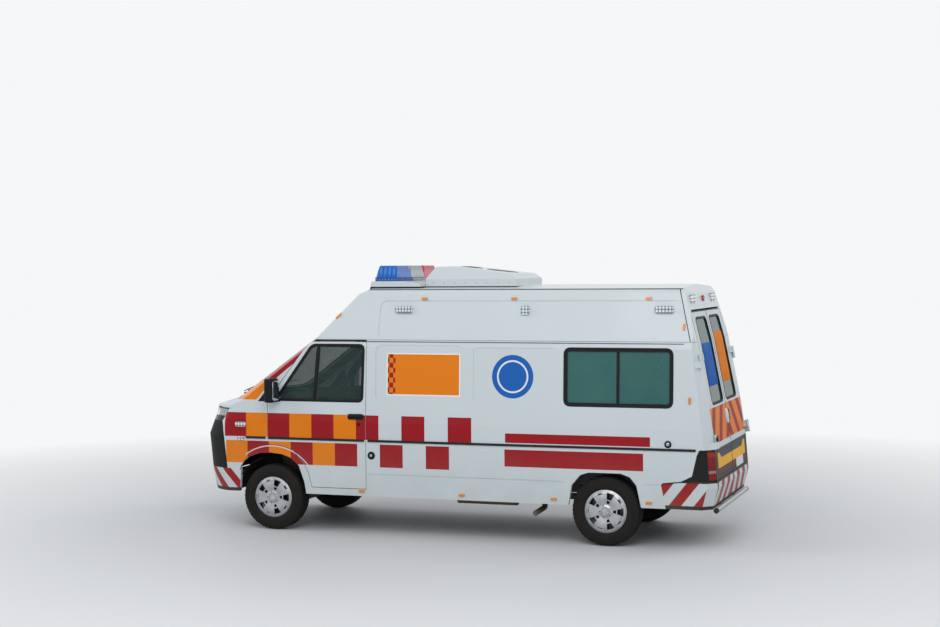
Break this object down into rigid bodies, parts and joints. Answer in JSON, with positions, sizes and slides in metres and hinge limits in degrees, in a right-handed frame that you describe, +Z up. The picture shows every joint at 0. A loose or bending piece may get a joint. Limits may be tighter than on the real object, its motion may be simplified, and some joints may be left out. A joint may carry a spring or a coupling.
{
  "type": "high-roof van ambulance",
  "caption": "High-roof van ambulance with opening cab doors, rear doors and bonnet, steered front wheels, roof light bar, roof air conditioner and fitted patient compartment.",
  "frame": {"origin": "centre of the bounding box at ground level, midway along the vehicle", "axes": "+X forward, +Y to the left, +Z up"},
  "size_m": [5.7738, 2.32, 2.8379],
  "materials": {
    "body_paint": "gloss cool white paint",
    "dark_plastic": "grained dark plastic",
    "red_lens": "moulded red lens",
    "clear_lens": "clear lens over reflector",
    "amber_lens": "moulded amber lens",
    "beacon_lens": "blue, clear and red lens",
    "window_glass": "green tinted glass",
    "window_rubber": "black rubber",
    "tyre": "black tyre rubber",
    "wheel_silver": "silver painted cover and rim",
    "chassis_iron": "dark cast and forged iron",
    "chassis_paint": "black chassis paint",
    "floor_metal": "grey painted steel",
    "exhaust_steel": "heat-browned steel",
    "bright_tube": "bright tube",
    "seat_fabric": "dark grey woven cloth",
    "seat_vinyl": "blue vinyl",
    "cabinet_laminate": "white laminate"
  },
  "bodies": {
    "root": {"left_body_side": "body_paint", "right_body_side": "body_paint", "high_roof": "body_paint", "rear_door_frame": "body_paint", "tail_lamps": "red_lens", "rear_corner_trims": "dark_plastic", "rear_bumper": "body_paint", "front_bumper": "body_paint", "front_grille": "dark_plastic", "headlamps": "clear_lens", "nose_panel": "body_paint", "front_wings": "body_paint", "windscreen_frame": "body_paint", "windscreen": "window_glass", "side_window_frames": "window_rubber", "side_window_glass": "window_glass", "front_axle": "chassis_iron", "rear_axle": "chassis_iron", "leaf_springs": "chassis_iron", "chassis_frame": "chassis_paint", "engine": "chassis_iron", "floor_pan": "floor_metal", "exhaust": "exhaust_steel", "fuel_tank": "chassis_paint", "dashboard": "dark_plastic", "cab_seat_frames": "chassis_paint", "cab_seat_cushions": "seat_fabric", "partition_wall": "cabinet_laminate", "stretcher": "bright_tube", "patient_cushions": "seat_vinyl", "cabinets": "cabinet_laminate", "light_bar_plinth": "body_paint", "light_bar": "beacon_lens", "roof_air_conditioner": "body_paint", "roof_lamps": "clear_lens", "side_markers": "amber_lens", "rear_step": "bright_tube"},
    "bonnet": {"bonnet": "body_paint"},
    "left_front_door": {"left_front_door": "body_paint", "left_front_door_glass": "window_glass", "left_mirror": "dark_plastic"},
    "right_front_door": {"right_front_door": "body_paint", "right_front_door_glass": "window_glass", "right_mirror": "dark_plastic"},
    "left_rear_door": {"left_rear_door": "body_paint", "left_rear_door_glass": "window_glass"},
    "right_rear_door": {"right_rear_door": "body_paint", "right_rear_door_glass": "window_glass"},
    "left_knuckle": {"left_knuckle": "chassis_iron"},
    "right_knuckle": {"right_knuckle": "chassis_iron"},
    "left_front_wheel": {"left_front_tyre": "tyre", "left_front_wheel": "wheel_silver"},
    "right_front_wheel": {"right_front_tyre": "tyre", "right_front_wheel": "wheel_silver"},
    "left_rear_wheel": {"left_rear_tyre": "tyre", "left_rear_wheel": "wheel_silver"},
    "right_rear_wheel": {"right_rear_tyre": "tyre", "right_rear_wheel": "wheel_silver"},
    "steering_wheel": {"steering_wheel": "dark_plastic"}
  },
  "joints": [
    {"name": "bonnet_lift", "type": "hinge", "parent": "root", "child": "bonnet", "pos_m": [2.364, 0, 1.4005], "axis": [0, -1, 0], "range_deg": [0, 50]},
    {"name": "left_front_door_swing", "type": "hinge", "parent": "root", "child": "left_front_door", "pos_m": [1.9924, 0.949, 1], "axis": [0, 0, -1], "range_deg": [0, 70]},
    {"name": "right_front_door_swing", "type": "hinge", "parent": "root", "child": "right_front_door", "pos_m": [1.9924, -0.949, 1], "axis": [0, 0, 1], "range_deg": [0, 70]},
    {"name": "left_rear_door_swing", "type": "hinge", "parent": "root", "child": "left_rear_door", "pos_m": [-2.885, 0.865, 1.011], "axis": [-0.1952, 0, -0.9808], "range_deg": [0, 180]},
    {"name": "right_rear_door_swing", "type": "hinge", "parent": "root", "child": "right_rear_door", "pos_m": [-2.885, -0.865, 1.011], "axis": [0.1952, 0, 0.9808], "range_deg": [0, 180]},
    {"name": "steer_left", "type": "hinge", "parent": "root", "child": "left_knuckle", "pos_m": [1.955, 0.68, 0.3515], "axis": [0, 0, 1], "range_deg": [-35, 35]},
    {"name": "steer_right", "type": "hinge", "parent": "root", "child": "right_knuckle", "pos_m": [1.955, -0.68, 0.3515], "axis": [0, 0, 1], "range_deg": [-35, 35]},
    {"name": "steering_wheel_turn", "type": "hinge", "parent": "root", "child": "steering_wheel", "pos_m": [1.62, -0.43, 1.175], "axis": [-0.766, 0, 0.6428], "range_deg": [-560, 560]},
    {"name": "left_front_spin", "type": "hinge", "parent": "left_knuckle", "child": "left_front_wheel", "pos_m": [1.955, 0.808, 0.3515], "axis": [0, 1, 0], "continuous": true},
    {"name": "right_front_spin", "type": "hinge", "parent": "right_knuckle", "child": "right_front_wheel", "pos_m": [1.955, -0.808, 0.3515], "axis": [0, 1, 0], "continuous": true},
    {"name": "left_rear_spin", "type": "hinge", "parent": "root", "child": "left_rear_wheel", "pos_m": [-1.745, 0.808, 0.3515], "axis": [0, 1, 0], "continuous": true},
    {"name": "right_rear_spin", "type": "hinge", "parent": "root", "child": "right_rear_wheel", "pos_m": [-1.745, -0.808, 0.3515], "axis": [0, 1, 0], "continuous": true}
  ],
  "couplings": [
    {"joint": "steer_right", "follows": "steer_left", "ratio": 1},
    {"joint": "steering_wheel_turn", "follows": "steer_left", "ratio": 16}
  ]
}
